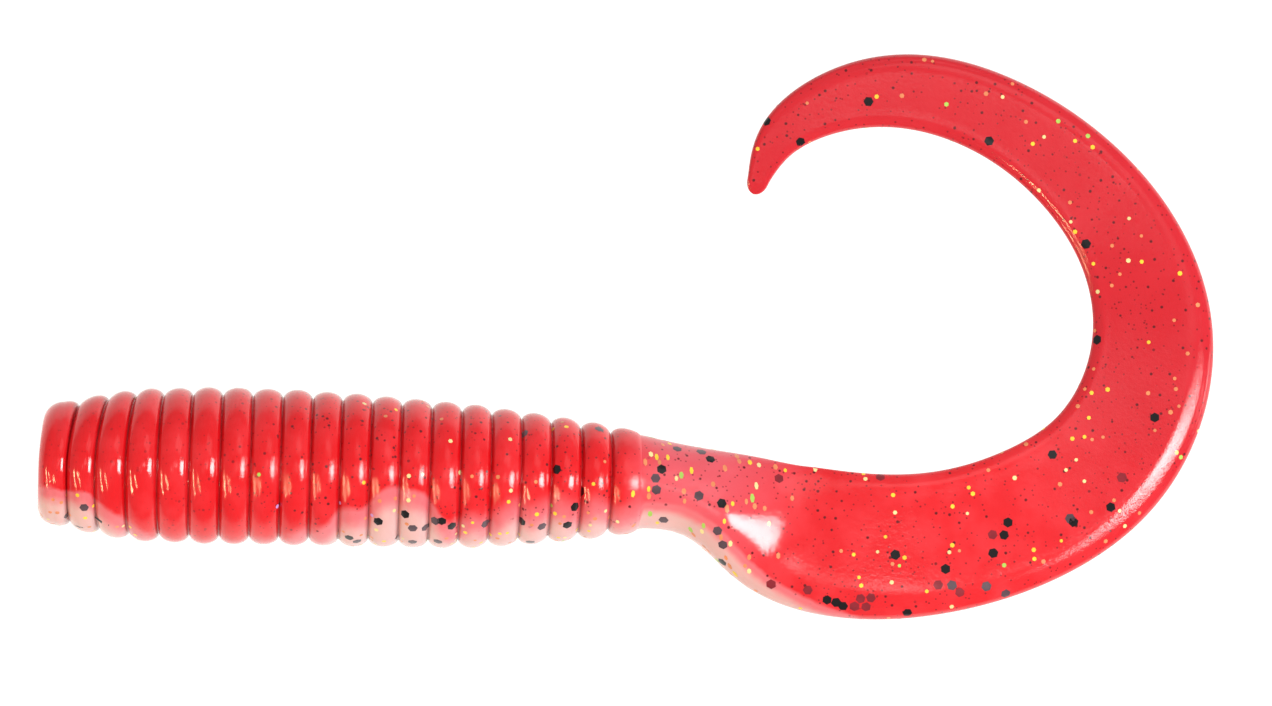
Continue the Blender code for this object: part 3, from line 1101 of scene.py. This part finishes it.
def dark_flakes():
    """The listed flakes of the upper side, then the scattered ones of the underside."""
    flakes = []
    for kind, places in TOP_FLAKES.items():
        for x, y in places:
            centre, normal = skin_below(x, y)
            size = BLACK_SIZE * rng.uniform(*BLACK_VARIATION)
            flakes.append(Flake(kind, centre, normal, size, rng.uniform(0.0, SIXTH_TURN)))
    for x, y, radius, stretch, heading in EDGE_FLAKES:
        centre, normal = skin_below(x, y)
        flakes.append(Flake("black", centre, normal, radius, 0.0, stretch, math.radians(heading)))
    for centre, normal in scatter(black_density, BLACK_SPACING, UNDERSIDE):
        kind = rng.choice(DARK_KINDS)
        flakes.append(Flake(kind, centre, normal, BLACK_SIZE, rng.uniform(0.0, SIXTH_TURN)))
    return flakes


def gold_flakes(dark):
    """Scattered gold flakes on all sides, but none over a dark one."""
    flakes = []
    for centre, normal in scatter(gold_density, GOLD_SPACING):
        stretch = rng.uniform(*NECK_STRETCH) if is_on_neck(centre) else 1.0
        size = GOLD_SIZE * rng.uniform(*GOLD_VARIATION)
        kind = rng.choice(GOLD_KINDS)
        turn = rng.uniform(0.0, SIXTH_TURN)
        if all((centre - other.centre).length > CLEAR_OF_DARK for other in dark):
            flakes.append(Flake(kind, centre, normal, size, turn, stretch))
    return flakes


def place_of(point):
    """How far along the worm a point is. The curl comes back beside the body, but further out than it."""
    beside_body = 8.0
    if point.x < BODY_LENGTH and point.y < beside_body:
        return point.x - float(rib_lean(point.x)) * point.z - swept_back(point.x, point.y)
    return TAIL.nearest(point.x, point.y, FLAKE_TRIES)


def build_flakes(pieces):
    """One object of plates for each piece of skin that has flakes."""
    kinds = list(FLAKE_LOOKS)
    materials = [
        flake_material(f"flake_{kind}", srgb(*colour), roughness)
        for kind, (colour, roughness) in FLAKE_LOOKS.items()
    ]
    groups = [[] for _ in pieces]
    ends = [SKIN.places[last] for last, _, _, _ in pieces]
    dark = dark_flakes()
    for flake in dark + gold_flakes(dark):
        number = int(np.searchsorted(ends, place_of(flake.centre)))
        groups[min(number, len(pieces) - 1)].append(flake)
    for number, ((_, joint, start, end), flakes) in enumerate(zip(pieces, groups)):
        if not flakes:
            continue
        points, normals, faces, chosen = [], [], [], []
        for flake in flakes:
            base = len(points)
            points += flake.points
            normals += flake.normals
            faces += [tuple(base + k for k in face) for face in flake.faces]
            chosen += [kinds.index(flake.kind)] * len(flake.faces)
        obj = make_mesh_object(piece_name("flakes", number), points, faces, materials)
        obj.data.polygons.foreach_set("material_index", chosen)
        obj.data.shade_smooth()
        obj.data.normals_split_custom_set_from_vertices(normals)
        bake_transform(obj)


# ---------------------------------------------------------------- floor, lights, camera, in metres
WHITE = (1.0, 1.0, 1.0)
WARM = (1.0, 0.78, 0.42)
# The floor is low enough for the worm to hang clear of it when the whole body bends down.
FLOOR_Z = -0.085
FLOOR_HALF = 6.0
FLOOR_GREY = 0.45
FLOOR_ROUGHNESS = 0.8
FLOOR_GLOW = 0.58
WORLD_LEVEL = 0.4
# The camera looks straight down: its place above the worm, how many degrees it is turned, and how wide
# it sees at this height.
CAMERA_PLACE = (0.05146, 0.01119, 2.0)
CAMERA_TURN = 1.8
VIEW_WIDTH = 0.1106
VIEW_Z = -0.003
SENSOR_WIDTH = 36.0
CLIP_END = 20.0


def add_floor():
    x, y, z = FLOOR_HALF, FLOOR_HALF, FLOOR_Z
    mesh = bpy.data.meshes.new("floor")
    mesh.from_pydata([(-x, -y, z), (x, -y, z), (x, y, z), (-x, y, z)], [], [(0, 1, 2, 3)])
    n = Nodes("floor_paper")
    n.feed(n.shader, "Base Color", (FLOOR_GREY, FLOOR_GREY, FLOOR_GREY, 1.0))
    n.feed(n.shader, "Roughness", FLOOR_ROUGHNESS)
    n.feed(n.shader, "Emission Color", (*WHITE, 1.0))
    n.feed(n.shader, "Emission Strength", FLOOR_GLOW)
    mesh.materials.append(n.material)
    floor = bpy.data.objects.new("floor", mesh)
    bpy.context.scene.collection.objects.link(floor)


def add_panel(name, direction, distance, size, radiance, colour=WHITE, mirrored=True):
    """A soft oblong light that faces the worm, or a round one if its two sizes are equal.
    One that isn't mirrored lights the worm without showing as a highlight."""
    low, high = CAD_BOX
    middle = (low + high) / 2.0
    towards = Vector(direction).normalized()
    light = bpy.data.lights.new(name, "AREA")
    light.shape = "ELLIPSE" if size[0] == size[1] else "RECTANGLE"
    light.size, light.size_y = size
    light.energy = radiance * size[0] * size[1] * math.pi
    light.color = colour
    obj = bpy.data.objects.new(name, light)
    obj.location = middle + towards * distance
    obj.rotation_mode = "QUATERNION"
    obj.rotation_quaternion = towards.to_track_quat("Z", "Y")
    obj.visible_camera = False
    obj.visible_glossy = mirrored
    bpy.context.scene.collection.objects.link(obj)


def add_lights():
    """Each panel: the direction it shines from, its distance, its two sizes and its brightness."""
    add_panel("key_softbox", (0.637, -0.064, 0.763), 0.6, (0.18, 0.235), 17.0)
    add_panel("key_fill", (0.61, -0.055, 0.79), 0.6, (0.25, 0.28), 6.7, mirrored=False)
    add_panel("low_softbox", (0.98, 0.0, 0.17), 0.8, (0.12, 0.3), 6.0)
    add_panel("warm_lamp_left", (-0.86, -0.38, 0.42), 0.5, (0.24, 0.016), 60.0, WARM)
    add_panel("warm_lamp_right", (-0.55, -0.44, 0.76), 0.5, (0.2, 0.013), 60.0, WARM)
    for side, name in ((1.0, "side_fill_left"), (-1.0, "side_fill_right")):
        add_panel(name, (0.0, side, 0.1), 0.5, (0.5, 0.2), 1.2, mirrored=False)
    add_panel("tail_panel", (0.25, 0.5, 0.85), 0.3, (0.16, 0.12), 0.6)
    add_panel("ceiling_wide", (0.1, 0.0, 0.99), 1.0, (0.12, 0.3), 1.1)
    add_panel("ceiling_neck", (0.2, 0.0, 0.98), 1.0, (0.07, 0.14), 2.5)
    add_panel("ceiling_strip", (-0.07, -0.14, 0.99), 1.0, (0.1, 0.05), 0.9)
    add_panel("ceiling_disc", (-0.195, -0.1, 0.97), 1.0, (0.075, 0.075), 1.4)


def add_world():
    world = bpy.data.worlds.new("studio")
    world.use_nodes = True
    background = world.node_tree.nodes["Background"]
    background.inputs["Color"].default_value = (*WHITE, 1.0)
    background.inputs["Strength"].default_value = WORLD_LEVEL
    bpy.context.scene.world = world


def add_camera():
    """Straight above the worm, turned a little, so that the body points down to the right."""
    data = bpy.data.cameras.new("camera")
    data.sensor_width = SENSOR_WIDTH
    data.lens = SENSOR_WIDTH * (CAMERA_PLACE[2] - VIEW_Z) / VIEW_WIDTH
    data.clip_end = CLIP_END
    camera = bpy.data.objects.new("camera", data)
    camera.location = CAMERA_PLACE
    camera.rotation_euler = (0.0, 0.0, math.radians(CAMERA_TURN))
    bpy.context.scene.collection.objects.link(camera)
    bpy.context.scene.camera = camera


add_camera()
build_flakes(build_skin())
add_floor()
add_lights()
add_world()
bpy.context.scene.view_settings.view_transform = "Standard"
